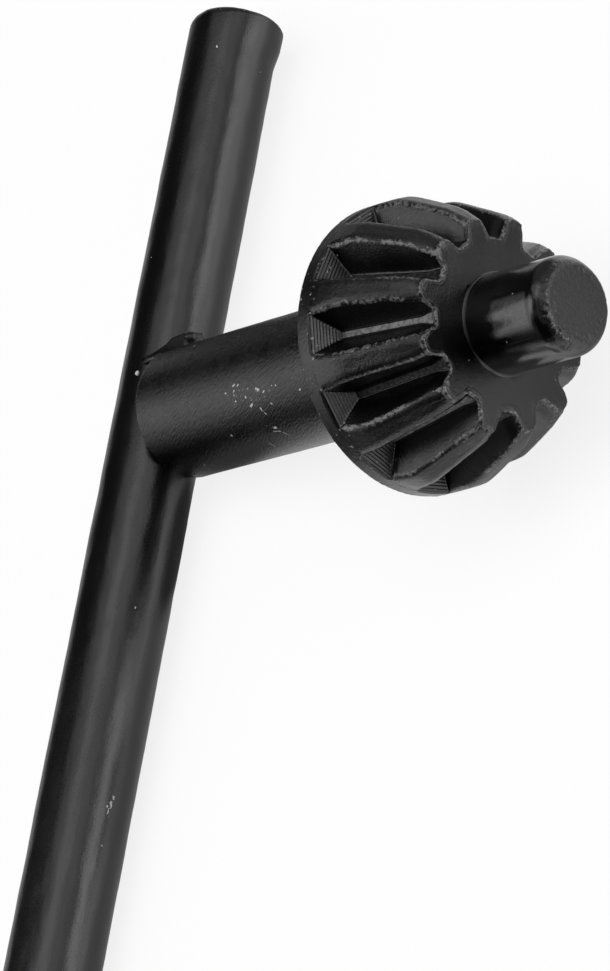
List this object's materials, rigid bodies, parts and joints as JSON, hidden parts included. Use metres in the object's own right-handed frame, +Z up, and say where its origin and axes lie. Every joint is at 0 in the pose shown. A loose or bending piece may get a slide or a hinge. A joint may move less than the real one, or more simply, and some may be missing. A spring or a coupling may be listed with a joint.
{
  "type": "drill chuck key",
  "caption": "T-shaped key that turns a drill chuck: round cross bar, shank, bevel pinion and a short pilot pin.",
  "frame": {"origin": "middle of the key's box, on the ground that it lies on", "axes": "+Z up; +Y along the cross bar towards its short arm; the body leans up along +X towards the pilot"},
  "size_m": [0.0416, 0.07, 0.0181],
  "materials": {
    "blackened_bar": "black oxide steel, drawn bar, semi-gloss with light scuffs",
    "blackened_body": "black oxide steel, turned and pressed teeth, semi-gloss with bare burred edges"
  },
  "bodies": {
    "root": {"cross_bar": "blackened_bar", "key_body": "blackened_body"}
  },
  "joints": []
}
